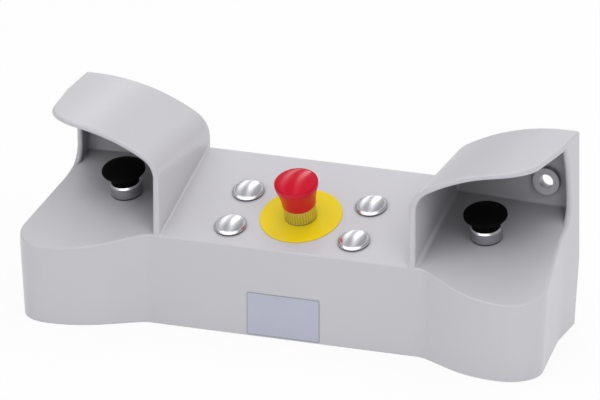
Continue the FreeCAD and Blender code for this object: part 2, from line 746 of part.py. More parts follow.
def stem(cap_z, travel):
    """Sliding stem: guide, rod through the spring and two legs that work the contacts."""
    guide_low = cap_z - STEM_GUIDE
    rod_low = SPRING_WIRE + CLEARANCE - BARREL_DEPTH + travel
    body = revolved([
        (0, rod_low, 0),
        (STEM_ROD_RADIUS, rod_low, 0),
        (STEM_ROD_RADIUS, guide_low, 0),
        (BARREL_BORE - SLIDING_GAP, guide_low, 0),
        (BARREL_BORE - SLIDING_GAP, cap_z, 0),
        (STEM_PEG_RADIUS, cap_z, 0),
        (STEM_PEG_RADIUS, cap_z + STEM_PEG_LENGTH, 0),
        (0, cap_z + STEM_PEG_LENGTH, 0),
    ])
    reach = contact_top() - LEG_LENGTH / 2
    legs = []
    for side in (-1, 1):
        foot = Vector(side * LEG_OFFSET, 0, reach)
        legs.append(Part.makeCylinder(LEG_RADIUS, rod_low + LEG_RADIUS - reach, foot))
    return body.fuse(legs).removeSplitter()


def spring(cap_z):
    """Return spring between the barrel's lip and the stem's guide, with closed flat ends."""
    low = SPRING_WIRE - BARREL_DEPTH + CLEARANCE
    high = cap_z - STEM_GUIDE - CLEARANCE
    mean = BARREL_BORE - SPRING_WIRE / 2 - SLIDING_GAP * 3
    pitch = (high - low - SPRING_WIRE) / SPRING_TURNS
    helix = Part.makeHelix(pitch, pitch * SPRING_TURNS, mean)
    half = SPRING_WIRE / 2
    section = Part.makePolygon([
        Vector(mean - half, 0, -half),
        Vector(mean + half, 0, -half),
        Vector(mean + half, 0, half),
        Vector(mean - half, 0, half),
        Vector(mean - half, 0, -half),
    ])
    coil = Part.Wire(helix).makePipeShell([section], True, True)
    coil.translate(Vector(0, 0, low + half))
    return coil


def palm_cap(cap_z):
    """Mushroom palm button: straight neck, undercut flare and low dome."""
    flare_z = cap_z + CAP_OVERLAP + PALM_TRAVEL + PALM_FLARE_RADIUS / 2
    socket = STEM_PEG_RADIUS + THREAD_GAP
    return revolved([
        (socket, cap_z, 0),
        (PALM_NECK_RADIUS, cap_z, 0),
        (PALM_NECK_RADIUS, flare_z, PALM_FLARE_RADIUS),
        (PALM_RIM_RADIUS, PALM_RIM_Z - PALM_RIM_UNDER, PALM_RIM_ROUND),
        (PALM_RIM_RADIUS, PALM_RIM_Z + PALM_RIM_OVER, PALM_RIM_ROUND),
        (PALM_CROWN_RADIUS, PALM_TOP_Z, PALM_DOME_RADIUS),
        (0, PALM_TOP_Z, 0),
        (0, cap_z + STEM_PEG_LENGTH + CLEARANCE, 0),
        (socket, cap_z + STEM_PEG_LENGTH + CLEARANCE, 0),
    ])


def stop_head(cap_z, collar_top):
    """Emergency stop head: a skirt that slides over the collar, a flare and a domed top."""
    skirt_bore = COLLAR_RADIUS + CLEARANCE
    skirt_low = collar_top + CLEARANCE
    room = collar_top + STOP_TRAVEL + CLEARANCE
    socket = STEM_PEG_RADIUS + THREAD_GAP
    return revolved([
        (socket, cap_z, 0),
        (PALM_NECK_RADIUS, cap_z, 0),
        (PALM_NECK_RADIUS, room, 0),
        (skirt_bore, room, 0),
        (skirt_bore, skirt_low, 0),
        (STOP_SKIRT_RADIUS, skirt_low, 0),
        (STOP_WAIST_RADIUS, STOP_WAIST_Z, STOP_FLARE_RADIUS),
        (STOP_RIM_RADIUS, STOP_RIM_Z - STOP_RIM_UNDER, STOP_RIM_ROUND),
        (STOP_RIM_RADIUS, STOP_RIM_Z + STOP_RIM_OVER, STOP_RIM_ROUND),
        (STOP_CROWN_RADIUS, STOP_TOP_Z, STOP_DOME_RADIUS),
        (0, STOP_TOP_Z, 0),
        (0, cap_z + STEM_PEG_LENGTH + CLEARANCE, 0),
        (socket, cap_z + STEM_PEG_LENGTH + CLEARANCE, 0),
    ])


def legend_disk():
    """Round backing plate under the emergency stop."""
    disc = Part.makeCylinder(DISK_RADIUS, DISK_THICKNESS)
    return disc.cut(bored(BARREL_RADIUS + CLEARANCE))


def plug():
    """Domed blanking plug with a hollow threaded shank."""
    rim_top = SEAL_THICKNESS + PLUG_EDGE
    return revolved([
        (BARREL_RADIUS, -BARREL_DEPTH + WALL, 0),
        (BARREL_RADIUS, SEAL_THICKNESS, 0),
        (COLLAR_RADIUS, SEAL_THICKNESS, 0),
        (COLLAR_RADIUS, rim_top, PLUG_EDGE_ROUND),
        (PLUG_CROWN_RADIUS, PLUG_HEIGHT, PLUG_DOME_RADIUS),
        (0, PLUG_HEIGHT, 0),
        (0, rim_top, 0),
        (BARREL_BORE, rim_top, 0),
        (BARREL_BORE, -BARREL_DEPTH + WALL, 0),
    ])


def rating_plate():
    """Bare plate with rounded corners on the front face."""
    half = RATING_WIDTH / 2
    high_z = RATING_LOW_Z + RATING_HEIGHT
    wire = rounded_wire([
        (-half, RATING_LOW_Z, RATING_RADIUS),
        (half, RATING_LOW_Z, RATING_RADIUS),
        (half, high_z, RATING_RADIUS),
        (-half, high_z, RATING_RADIUS),
    ], along_y(FRONT_Y))
    return prism(wire, Vector(0, -RATING_THICKNESS, 0))


def lengthwise(shape):
    """Turn a piece made along Z so that it runs out of the back, at the gland's height."""
    copy = shape.copy()
    copy.Placement = Placement(Vector(0, 0, GLAND_Z), Rotation(Vector(1, 0, 0), -90))
    return copy


def gland_ring(radius, bore, low_y, high_y):
    """Round or bored length of the gland between two distances."""
    ring = Part.makeCylinder(radius, high_y - low_y, Vector(0, 0, low_y))
    if bore > 0:
        ring = ring.cut(Part.makeCylinder(bore, high_y - low_y, Vector(0, 0, low_y)))
    return ring


def gland_hexagon(low_y, length):
    """Hexagonal length of the gland with its corners turned off."""
    bar = hexagon_bar(GLAND_FLATS, length, Vector(0, 0, low_y), Rotation())
    corner = GLAND_FLATS / (2 * cos(radians(30)))
    turned = Part.makeCone(corner, corner - length, length, Vector(0, 0, low_y))
    flank = Part.makeCylinder(corner - SPRING_WIRE / 2, length, Vector(0, 0, low_y))
    return bar.common(flank.fuse(turned))


def gland_parts():
    """Body, seal insert, cap nut and locknut of the cable gland."""
    inside_y = BACK_Y - WALL
    hex_end = BACK_Y + GLAND_HEX_LENGTH
    body_end = hex_end + GLAND_CAP_LENGTH / 2
    neck = GLAND_THREAD_RADIUS - SPRING_WIRE
    body = gland_hexagon(BACK_Y, GLAND_HEX_LENGTH)
    body = body.fuse(gland_ring(GLAND_THREAD_RADIUS, 0, inside_y - 2 * LOCKNUT_THICKNESS, BACK_Y))
    body = body.fuse(gland_ring(neck, 0, hex_end, body_end))
    body = body.cut(gland_ring(GLAND_BORE_RADIUS, 0, inside_y - 4 * LOCKNUT_THICKNESS, body_end))
    cap = gland_hexagon(hex_end + PLATE_GAP, GLAND_CAP_LENGTH)
    room = neck + THREAD_GAP
    cap = cap.cut(gland_ring(room, 0, hex_end, body_end + PLATE_GAP))
    cap = cap.cut(gland_ring(GLAND_BORE_RADIUS, 0, hex_end, hex_end + 2 * GLAND_CAP_LENGTH))
    insert = gland_ring(GLAND_BORE_RADIUS - THREAD_GAP, CABLE_RADIUS, hex_end, hex_end + GLAND_CAP_LENGTH)
    nut = hexagon_bar(GLAND_FLATS, LOCKNUT_THICKNESS, Vector(0, 0, inside_y - LOCKNUT_THICKNESS), Rotation())
    nut = nut.cut(gland_ring(GLAND_THREAD_RADIUS + THREAD_GAP, 0, 0, inside_y))
    names = ["gland_body", "gland_cap_nut", "gland_seal_insert", "gland_locknut"]
    return dict(zip(names, [lengthwise(piece) for piece in (body, cap, insert, nut)]))


def terminal_rail():
    """Hat section rail on the base plate."""
    half = RAIL_WIDTH / 2
    foot = half - RAIL_HEIGHT + RAIL_SHEET
    low = PLATE_THICKNESS
    top = PLATE_THICKNESS + RAIL_HEIGHT
    points = [
        (-half, top), (-half, top - RAIL_SHEET), (-foot, top - RAIL_SHEET), (-foot, low),
        (foot, low), (foot, top - RAIL_SHEET), (half, top - RAIL_SHEET), (half, top),
        (foot - RAIL_SHEET, top), (foot - RAIL_SHEET, low + RAIL_SHEET),
        (RAIL_SHEET - foot, low + RAIL_SHEET), (RAIL_SHEET - foot, top),
    ]
    wire = rounded_wire([(RAIL_Y + y, z, 0) for y, z in points], along_x(RAIL_X - RAIL_LENGTH / 2))
    return prism(wire, Vector(RAIL_LENGTH, 0, 0))


def terminal_blocks():
    """Row of terminals clipped over the rail, each with two screw wells."""
    low = PLATE_THICKNESS + RAIL_HEIGHT + THREAD_GAP
    half = TERMINAL_WIDTH / 2
    shoulder = TERMINAL_WIDTH / 4
    solids = []
    for i in range(TERMINAL_COUNT):
        x = RAIL_X + (i - TERMINAL_COUNT / 2) * TERMINAL_PITCH
        wire = rounded_wire([
            (RAIL_Y - half, low, 0),
            (RAIL_Y + half, low, 0),
            (RAIL_Y + half, low + TERMINAL_HEIGHT * TERMINAL_SHOULDER, EDGE_RADIUS),
            (RAIL_Y + shoulder, low + TERMINAL_HEIGHT, EDGE_RADIUS),
            (RAIL_Y - shoulder, low + TERMINAL_HEIGHT, EDGE_RADIUS),
            (RAIL_Y - half, low + TERMINAL_HEIGHT * TERMINAL_SHOULDER, EDGE_RADIUS),
        ], along_x(x))
        solid = prism(wire, Vector(TERMINAL_PITCH - THREAD_GAP, 0, 0))
        middle = x + TERMINAL_PITCH / 2
        for end in (-1, 1):
            foot = Vector(middle, RAIL_Y + end * shoulder / 2, low + TERMINAL_HEIGHT * TERMINAL_WELL)
            solid = solid.cut(rod(SCREW_RADIUS, foot, Vector(0, 0, TERMINAL_HEIGHT)))
        solids.append(solid)
    return solids


def write(name, solids):
    """Write one node from one solid or a group."""
    if isinstance(solids, list):
        solids = Part.makeCompound(solids)
    solids.exportStep("parts/%s.step" % name)


def palm_button(name, axis):
    """The nine pieces of one palm button."""
    cap_z = SEAL_THICKNESS + PALM_COLLAR_HEIGHT - CAP_OVERLAP
    pieces = {
        "cap": palm_cap(cap_z),
        "stem": stem(cap_z, PALM_TRAVEL),
        "spring": spring(cap_z),
        "collar": collar(SEAL_THICKNESS, PALM_COLLAR_HEIGHT),
        "seal": seal(BARREL_RADIUS + THREAD_GAP),
        "locking_nut": locking_nut(),
        "holder": holder(),
        "contact_open": contact_block(-1),
        "contact_closed": contact_block(1),
    }
    for piece, shape in pieces.items():
        write("%s_%s" % (name, piece), placed(shape, axis))


def emergency_stop(axis):
    """The pieces of the emergency stop and its backing plate."""
    collar_top = DISK_THICKNESS + STOP_COLLAR_HEIGHT
    cap_z = collar_top + STOP_TRAVEL
    pieces = {
        "head": stop_head(cap_z, collar_top),
        "stem": stem(cap_z, STOP_TRAVEL),
        "spring": spring(cap_z),
        "collar": collar(DISK_THICKNESS, STOP_COLLAR_HEIGHT),
        "backing_plate": legend_disk(),
        "locking_nut": locking_nut(),
        "holder": holder(),
        "contact_first": contact_block(-1),
        "contact_second": contact_block(1),
    }
    for piece, shape in pieces.items():
        write("stop_%s" % piece, placed(shape, axis))


def main():
    """Build every piece and write it."""
    os.makedirs("parts", exist_ok=True)
    axes = device_axes()
    write("housing", housing())
    write("base_plate", base_plate())
    write("base_gasket", base_gasket())
    write("base_screws", base_screws())
    write("rating_plate", rating_plate())
    palm_button("palm_left", axes["palm_left"])
    palm_button("palm_right", axes["palm_right"])
    emergency_stop(axes["stop"])
    plugs = [name for name in axes if name.startswith("plug")]
    for name in plugs:
        write(name, placed(plug(), axes[name]))
    write("plug_seals", [placed(seal(BARREL_RADIUS + THREAD_GAP), axes[name]) for name in plugs])
    write("plug_nuts", [placed(locking_nut(), axes[name]) for name in plugs])
    for name, shape in gland_parts().items():
        write(name, shape)
    write("terminal_rail", terminal_rail())
    write("terminal_blocks", terminal_blocks())


main()
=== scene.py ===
# %% [markdown]
# # Two hand control station
# The real object is a moulded grey housing with two hooded lobes. A palm button stands under
# each hood, and an emergency stop stands on the sloped deck between them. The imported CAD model
# gives every place and size, so this script loads it first. It then gives each piece its finish,
# and puts finer pieces in the place of the plain turned ones.

# %% Load the CAD model
import json
from math import atan2, cos, pi, radians, sin

import bmesh
import bpy
from mathutils import Matrix, Vector


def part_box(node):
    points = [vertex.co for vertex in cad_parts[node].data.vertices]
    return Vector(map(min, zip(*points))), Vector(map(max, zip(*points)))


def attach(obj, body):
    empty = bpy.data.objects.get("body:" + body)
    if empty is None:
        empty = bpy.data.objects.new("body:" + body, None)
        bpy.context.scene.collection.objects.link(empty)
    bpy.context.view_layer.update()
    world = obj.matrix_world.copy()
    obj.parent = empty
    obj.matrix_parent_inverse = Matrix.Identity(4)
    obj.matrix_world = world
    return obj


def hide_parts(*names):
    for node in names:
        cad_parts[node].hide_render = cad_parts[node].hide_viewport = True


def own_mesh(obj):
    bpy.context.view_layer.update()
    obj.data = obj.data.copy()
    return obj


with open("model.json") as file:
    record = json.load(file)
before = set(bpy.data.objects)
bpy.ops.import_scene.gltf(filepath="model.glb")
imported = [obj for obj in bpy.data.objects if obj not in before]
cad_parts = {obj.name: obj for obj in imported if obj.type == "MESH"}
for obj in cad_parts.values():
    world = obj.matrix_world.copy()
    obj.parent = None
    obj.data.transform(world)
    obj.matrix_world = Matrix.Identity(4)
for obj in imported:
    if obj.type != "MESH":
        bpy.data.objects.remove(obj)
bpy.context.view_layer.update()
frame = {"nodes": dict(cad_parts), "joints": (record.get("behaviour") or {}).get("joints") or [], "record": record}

MM = 0.001
nodes = frame["nodes"]

# %% [markdown]
# ## Camera
# A photograph of a product like this is taken from far away with a long lens, so parallel edges
# stay parallel. The camera therefore stands nine metres off with a 600 mm lens. Two angles set
# its direction. Two pixel values say how far the deck's middle lies from the picture's centre,
# and from them the script works out the point that the camera looks at.

# %% Camera
LENS = 600.0
SENSOR = 36.0
IMAGE_WIDTH = 600.0
PIXELS_PER_METRE = 1112.3
CAMERA_YAW = radians(19.76)
CAMERA_HEIGHT_ANGLE = radians(20.3)
DECK_MIDDLE = Vector((0.0, 0.0, 0.1013))
DECK_PIXELS_RIGHT = 1.1
DECK_PIXELS_BELOW = 16.4

to_camera = Vector((
    sin(CAMERA_YAW) * cos(CAMERA_HEIGHT_ANGLE),
    -cos(CAMERA_YAW) * cos(CAMERA_HEIGHT_ANGLE),
    sin(CAMERA_HEIGHT_ANGLE),
))
turn = to_camera.to_track_quat("Z", "Y")
right = turn @ Vector((1, 0, 0))
up = turn @ Vector((0, 1, 0))
aim = DECK_MIDDLE - right * DECK_PIXELS_RIGHT / PIXELS_PER_METRE
aim += up * DECK_PIXELS_BELOW / PIXELS_PER_METRE
distance = LENS / SENSOR * IMAGE_WIDTH / PIXELS_PER_METRE

camera_data = bpy.data.cameras.new("long_lens")
camera_data.lens = LENS
camera_data.sensor_width = SENSOR
camera_data.clip_start = 0.5
camera_data.clip_end = 60.0
camera = bpy.data.objects.new("camera", camera_data)
bpy.context.scene.collection.objects.link(camera)
camera.rotation_mode = "QUATERNION"
camera.rotation_quaternion = turn
camera.location = aim + to_camera * distance
bpy.context.scene.camera = camera
bpy.context.scene.view_settings.view_transform = "Standard"
print("camera", round(distance, 2), "m away")

# %% [markdown]
# ## Shader sums
# A finish is a small calculation: noise makes the roughness vary, and a fine height makes the
# surface catch the light. Wiring each Math node by hand hides that calculation, so a socket is
# wrapped in a class that turns Python's + - * / and abs into Math nodes.

# %% A socket in a sum
class Value:
    """A node's socket that can be used in a Python sum."""

    def __init__(self, shading, socket):
        self.shading = shading
        self.socket = socket

    def combine(self, operation, first, second):
        return self.shading.node("Math", {"operation": operation}, {0: first, 1: second})

    def __add__(self, other):
        return self.combine("ADD", self, other)

    def __sub__(self, other):
        return self.combine("SUBTRACT", self, other)

    def __rsub__(self, other):
        return self.combine("SUBTRACT", other, self)

    def __mul__(self, other):
        return self.combine("MULTIPLY", self, other)

    def __truediv__(self, other):
        return self.combine("DIVIDE", self, other)

    def __rtruediv__(self, other):
        return self.combine("DIVIDE", other, self)

    def __abs__(self):
        return self.combine("ABSOLUTE", self, 0.0)

    __radd__ = __add__
    __rmul__ = __mul__


# %% [markdown]
# One class holds a tree of nodes, for a material or for the world. Every node comes from its one
# method, which takes the node's type, its settings and its sockets. A finish is such a tree with
# one shader. Its patterns read Object coordinates, so they stay on a piece that moves.

# %% Trees of nodes
class Shading:
    """A tree of nodes."""

    def __init__(self, tree):
        self.tree = tree

    def join(self, socket, value):
        """Link a value to a socket, or set the socket where the value is a plain number."""
        if isinstance(value, Value):
            self.tree.links.new(value.socket, socket)
        else:
            socket.default_value = value

    def node(self, kind, settings=None, values=None, output=0):
        """Any node: its type, its settings and the values or links of its sockets."""
        made = self.tree.nodes.new("ShaderNode" + kind)
        for name, value in (settings or {}).items():
            setattr(made, name, value)
        for key, value in (values or {}).items():
            self.join(made.inputs[key], value)
        return Value(self, made.outputs[output])

    def fade(self, value, start, end, low=0.0, high=1.0):
        """Soft step from one level to another while a value goes from start to end."""
        values = {
            "Value": value, "From Min": start, "From Max": end, "To Min": low, "To Max": high}
        return self.node("MapRange", {"interpolation_type": "SMOOTHSTEP"}, values)

    def mix(self, factor, first, second):
        """Colour between two colours."""
        return self.node("Mix", {"data_type": "RGBA"}, {0: factor, 6: first, 7: second}, 2)


class Finish(Shading):
    """A material: one shader, its constant settings, and the nodes that feed it."""

    def __init__(self, slot, constants):
        self.material = bpy.data.materials.new(slot + "_finish")
        self.material.use_nodes = True
        super().__init__(self.material.node_tree)
        self.shader = self.tree.nodes["Principled BSDF"]
        for name, value in constants.items():
            self.shader.inputs[name].default_value = value

    def noise(self, size, detail=2.0, stretch=(1.0, 1.0, 1.0)):
        """Soft noise from 0 to 1 whose blotches are about one size wide, in metres."""
        where = self.node("TexCoord", output=3)
        place = self.node("Mapping", None, {"Vector": where, "Scale": stretch})
        values = {"Vector": place, "Scale": 1.0 / size, "Detail": detail}
        return self.node("TexNoise", None, values)

    def mark(self, name):
        """Number that a piece carries on its points under a name."""
        return self.node("Attribute", {"attribute_name": name}, None, 2)

    def feed(self, name, value):
        """Link a value to one of the shader's sockets."""
        self.join(self.shader.inputs[name], value)

    def fed(self, name):
        """Value that one of the shader's sockets gets so far."""
        return Value(self, self.shader.inputs[name].links[0].from_socket)

    def bump(self, height, depth, strength):
        """Small relief, with its depth in metres."""
        values = {"Height": height, "Distance": depth, "Strength": strength}
        self.feed("Normal", self.node("Bump", None, values))


# %% [markdown]
# Colours are written as a screen shows them, because that is how one picks them, and a function
# turns them into the linear light that Blender works with. No real surface is quite even, so one
# more function makes the usual finish, whose colour and roughness wander a little with noise.

# %% Colours and blotches
def colour(red, green, blue):
    """Linear colour from the 0 to 255 values that a screen shows."""
    shares = [value / 255.0 for value in (red, green, blue)]
    linear = [((share + 0.055) / 1.055) ** 2.4 for share in shares]
    return (*linear, 1.0)


def scaled(base, share):
    """Lighter or darker colour of the same kind."""
    return tuple(min(1.0, part * share) for part in base[:3]) + (1.0,)


def blotched(slot, base, spread, size, roughness, rough_spread, constants=None):
    """Finish whose colour and roughness wander round a middle, in blotches of one size."""
    finish = Finish(slot, constants or {})
    wander = finish.mix(finish.noise(size), scaled(base, 1 - spread), scaled(base, 1 + spread))
    finish.feed("Base Color", wander)
    rough = finish.noise(size / 3) * (2 * rough_spread) + (roughness - rough_spread)
    finish.feed("Roughness", rough)
    return finish


# %% [markdown]
# ## Housing finish
# The housing is a smooth, light grey moulding with a hint of violet and a satin surface. The
# mould leaves a very fine grain, here a bump 0.012 mm deep, and the colour wanders by a percent
# over a hand's width. Deep inside the hoods, shade is painted into the colour. An Ambient
# Occlusion node tells from the shape alone how open a spot is to its surroundings, and the
# colour fades from painted shade to the plain grey with it.

# %% Housing finish
HOUSING_GREY = colour(203, 202, 207)
GRAIN_SIZE = 0.9 * MM
RIPPLE_SIZE = 6 * MM
GRAIN_DEPTH = 0.012 * MM
RECESS_REACH = 110 * MM
RECESS_SHADE = 0.47
OPENNESS_FADE = (0.12, 0.68)

housing_finish = blotched(
    "housing_grey", HOUSING_GREY, spread=0.012, size=90 * MM, roughness=0.33, rough_spread=0.03)
# Painted shade: the grey darkens where the hoods close round a spot, as if shade fell there.
unshaded_grey = housing_finish.fed("Base Color")
painted_recess_shade = scaled(HOUSING_GREY, RECESS_SHADE)
openness = housing_finish.node(
    "AmbientOcclusion", {"samples": 16, "only_local": True}, {"Distance": RECESS_REACH}, 1)
in_the_open = housing_finish.fade(openness, *OPENNESS_FADE)
housing_finish.feed("Base Color", housing_finish.mix(in_the_open, painted_recess_shade, unshaded_grey))
grain = housing_finish.noise(GRAIN_SIZE, detail=3.0)
grain = grain + housing_finish.noise(RIPPLE_SIZE) * 0.5
housing_finish.bump(grain, depth=GRAIN_DEPTH, strength=0.4)
print("housing grey", [round(part, 3) for part in HOUSING_GREY[:3]])

# %% [markdown]
# ## Chrome finish
# The collars and the blanking plugs are bright chrome plate. Chrome takes nearly all its look
# from what it mirrors, so its own colour is plain and its roughness low, with faint smears. The
# collars and plugs carry an attribute that marks painted shade, at their feet, sides and flutes,
# and the colour goes from chrome to dark grey with it.

# %% Chrome finish
CHROME = colour(222, 222, 227)
PAINTED_SHADE_GREY = colour(58, 58, 62)
POLISH = 0.22
SMEAR = 0.05

chrome_finish = Finish("chrome_plate", {"Metallic": 1.0})
# Painted shade: the attribute turns the chrome towards dark grey where shade would fall.
in_painted_shade = chrome_finish.mark("painted_shade")
chrome_finish.feed("Base Color", chrome_finish.mix(in_painted_shade, CHROME, PAINTED_SHADE_GREY))
chrome_finish.feed("Roughness", chrome_finish.noise(7 * MM, detail=3.0) * SMEAR + POLISH)
chrome_finish.bump(chrome_finish.noise(6 * MM), depth=0.004 * MM, strength=0.3)
print("chrome roughness", POLISH, "to", POLISH + SMEAR)

# %% [markdown]
# ## Red, black and yellow
# The stop's head is a glossy red moulding, the palm buttons are matt black, and the round backing
# plate is yellow sheet. A perfectly smooth surface would look like glass, so each gets a faint
# relief like orange peel and a roughness that wanders.

# %% Red, black and yellow finishes
STOP_RED = colour(204, 2, 42)
PALM_BLACK = colour(4, 4, 5)
PLATE_YELLOW = colour(238, 210, 8)

red_finish = blotched(
    "stop_red", STOP_RED, spread=0.03, size=14 * MM, roughness=0.15, rough_spread=0.02,
    constants={"Specular IOR Level": 0.29})
red_finish.bump(red_finish.noise(3 * MM), depth=0.006 * MM, strength=0.3)

black_finish = blotched(
    "palm_black", PALM_BLACK, spread=0.10, size=12 * MM, roughness=0.60, rough_spread=0.05,
    constants={"Specular IOR Level": 0.06})
black_finish.bump(black_finish.noise(0.8 * MM), depth=0.01 * MM, strength=0.5)

yellow_finish = blotched(
    "warning_yellow", PLATE_YELLOW, spread=0.02, size=25 * MM, roughness=0.42,
    rough_spread=0.05, constants={"Specular IOR Level": 0.3})
yellow_finish.bump(yellow_finish.noise(0.7 * MM), depth=0.008 * MM, strength=0.5)
print("red, black and yellow are mixed")

# %% [markdown]
# ## Rating plate finish
# The rectangle on the front is a bare plate of bluish grey metal. It was brushed from side to
# side, so the noise is stretched along X until it turns into fine lines. An attribute marks the
# border, where a thin shadow is painted darker round the face.

# %% Rating plate finish
PLATE_BLUE_GREY = colour(189, 191, 208)
BORDER_SHADOW_GREY = colour(154, 155, 165)
STREAKS_ALONG_X = (0.02, 1.0, 1.0)

label_finish = blotched(
    "label_grey", PLATE_BLUE_GREY, spread=0.02, size=40 * MM, roughness=0.40,
    rough_spread=0.04, constants={"Metallic": 0.12})
face_colour = label_finish.fed("Base Color")
# Painted shadow: the border's mark darkens the plate's edge.
on_border_shadow = label_finish.mark("border_shadow")
label_finish.feed("Base Color", label_finish.mix(on_border_shadow, face_colour, BORDER_SHADOW_GREY))
brushed = label_finish.noise(0.5 * MM, stretch=STREAKS_ALONG_X)
label_finish.bump(brushed, depth=0.01 * MM, strength=0.6)
print("rating plate finish has", len(label_finish.tree.nodes), "nodes")

# %% [markdown]
# ## Hidden and underside finishes
# The base plate, its screws, the gland and the parts inside are plain engineering materials.
# One function makes the metals, with long brushed streaks, and one makes the mouldings. A table
# then gives every material slot of the CAD model its finish.

# %% Metals, rubber and mouldings
STREAKS_ALONG_Z = (1.0, 1.0, 0.1)


def metal(slot, base, roughness, streak):
    """Plated sheet or wire with streaks along one direction."""
    finish = blotched(
        slot, base, spread=0.05, size=12 * MM, roughness=roughness, rough_spread=0.08,
        constants={"Metallic": 1.0})
    finish.bump(finish.noise(0.4 * MM, stretch=streak), depth=0.01 * MM, strength=0.6)
    return finish


def moulding(slot, base, roughness):
    """Matt moulded plastic or rubber with a fine grain."""
    finish = blotched(
        slot, base, spread=0.05, size=8 * MM, roughness=roughness, rough_spread=0.06)
    finish.bump(finish.noise(0.5 * MM, detail=3.0), depth=0.02 * MM, strength=0.5)
    return finish


finishes = {
    "housing_grey": housing_finish,
    "chrome_plate": chrome_finish,
    "stop_red": red_finish,
    "palm_black": black_finish,
    "warning_yellow": yellow_finish,
    "label_grey": label_finish,
    "plate_steel": metal("plate_steel", colour(196, 198, 200), 0.38, STREAKS_ALONG_X),
    "screw_steel": metal("screw_steel", colour(186, 188, 190), 0.30, STREAKS_ALONG_Z),
    "spring_steel": metal("spring_steel", colour(170, 171, 174), 0.25, STREAKS_ALONG_Z),
    "rail_zinc": metal("rail_zinc", colour(200, 202, 200), 0.40, STREAKS_ALONG_X),
    "black_rubber": moulding("black_rubber", colour(38, 38, 40), 0.75),
    "inner_black": moulding("inner_black", colour(44, 44, 46), 0.55),
    "nut_black": moulding("nut_black", colour(52, 52, 54), 0.50),
    "contact_grey": moulding("contact_grey", colour(150, 152, 156), 0.50),
    "gland_grey": moulding("gland_grey", colour(158, 160, 164), 0.45),
    "terminal_beige": moulding("terminal_beige", colour(206, 200, 182), 0.50),
}
for part in frame["record"]["subparts"]:
    carried = nodes[part["node"]].data.materials
    carried.clear()
    carried.append(finishes[part["material_slot"]].material)
print("finishes:", len(finishes))

# %% [markdown]
# ## Where the devices stand
# Each button, plug and collar is turned on a lathe, so it only needs an axis. The axes come from
# the frame: a flat ring lies at each device's foot, and the middle of its box is on the axis. The
# devices point out of the deck, against the way in which their buttons are pressed.

# %% Device axes
SEAL_THICKNESS = 0.8 * MM
DISK_THICKNESS = 1.0 * MM
PLUG_SURROUND = 20 * MM
PLUGS = 4


def axis_at(points, outward, lift):
    """Matrix that puts local Z along the device, from the box round a flat ring's points."""
    low = Vector([min(point[i] for point in points) for i in range(3)])
    high = Vector([max(point[i] for point in points) for i in range(3)])
    along = outward.to_track_quat("Z", "Y").to_matrix().to_4x4()
    return Matrix.Translation((low + high) / 2 - outward * lift) @ along


def points_of(node):
    """All points of a CAD node's mesh."""
    return [vertex.co for vertex in nodes[node].data.vertices]


outward = {joint["name"]: -Vector(joint["axis"]) for joint in frame["joints"]}
axes = {}
for owner in ("palm_left", "palm_right"):
    axes[owner] = axis_at(points_of(owner + "_seal"), outward[owner + "_press"], SEAL_THICKNESS / 2)
axes["stop"] = axis_at(
    points_of("stop_backing_plate"), outward["stop_press"], DISK_THICKNESS / 2)
for number in range(1, PLUGS + 1):
    low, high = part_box("plug_%d" % number)
    middle = (low + high) / 2
    ring = [point for point in points_of("plug_seals") if (point - middle).length < PLUG_SURROUND]
    axes["plug_%d" % number] = axis_at(ring, outward["stop_press"], SEAL_THICKNESS / 2)
for name, axis in axes.items():
    print(name, [round(value / MM, 2) for value in axis.translation])

# %% [markdown]
# ## Making pieces
# Every new piece ends in the same way: the bmesh becomes an object at the origin that rides on a
# body of the mechanism, carries the finish of its slot, and stands in for a CAD node. Faces are
# shaded smooth, and the edges that turn sharply are marked, so that the shading stops there.

# %% Finish a piece
def finished(mesh, name, body, slot, replaced, crisp_angle):
    """Turn a bmesh into a piece that rides on a body and replaces a CAD node."""
    for face in mesh.faces:
        face.smooth = True
    mesh.normal_update()
    for edge in mesh.edges:
        if len(edge.link_faces) == 2 and edge.calc_face_angle() > radians(crisp_angle):
            edge.smooth = False
    data = bpy.data.meshes.new(name)
    mesh.to_mesh(data)
    mesh.free()
    data.materials.append(finishes[slot].material)
    piece = bpy.data.objects.new(name, data)
    bpy.context.scene.collection.objects.link(piece)
    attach(piece, body)
    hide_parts(replaced)
    print(name, len(data.polygons), "faces")
    return piece


# %% [markdown]
# ## Turning pieces
# A turned piece is half of its section spun round an axis. The section starts as a few corner
# points, each with its distance from the axis, its height and the radius of its rounding, in
# millimetres. Bevelling a corner point rounds it, and the spin then makes the whole body.

# %% Turn a section
ROUND_STEPS_PER_MM = 3
LEAST_ROUND_STEPS = 3
MERGE_DISTANCE = 0.002 * MM


def turned(corners, steps):
    """Bmesh spun round Z from (radius, height, rounding) corners in millimetres."""
    mesh = bmesh.new()
    line = [mesh.verts.new((radius * MM, 0, height * MM)) for radius, height, rounding in corners]
    for first, second in zip(line, line[1:]):
        mesh.edges.new((first, second))
    for point, (radius, height, rounding) in zip(line, corners):
        if rounding > 0:
            bmesh.ops.bevel(
                mesh, geom=[point], offset=rounding * MM, offset_type="OFFSET", affect="VERTICES",
                segments=max(LEAST_ROUND_STEPS, int(rounding * ROUND_STEPS_PER_MM)),
                profile=0.5, material=-1)
    bmesh.ops.spin(
        mesh, geom=mesh.verts[:] + mesh.edges[:], axis=(0, 0, 1), cent=(0, 0, 0),
        angle=2 * pi, steps=steps, use_merge=True)
    bmesh.ops.remove_doubles(mesh, verts=mesh.verts, dist=MERGE_DISTANCE)
    bmesh.ops.recalc_face_normals(mesh, faces=mesh.faces)
    return mesh


# %% [markdown]
# ## Palm buttons
# The palm button is a black mushroom: a straight neck, an undercut flare and a flat dome with a
# small round at the rim. Its section has the CAD's heights, with rounder transitions. It is
# hollow at the bottom, where the stem's head sits.

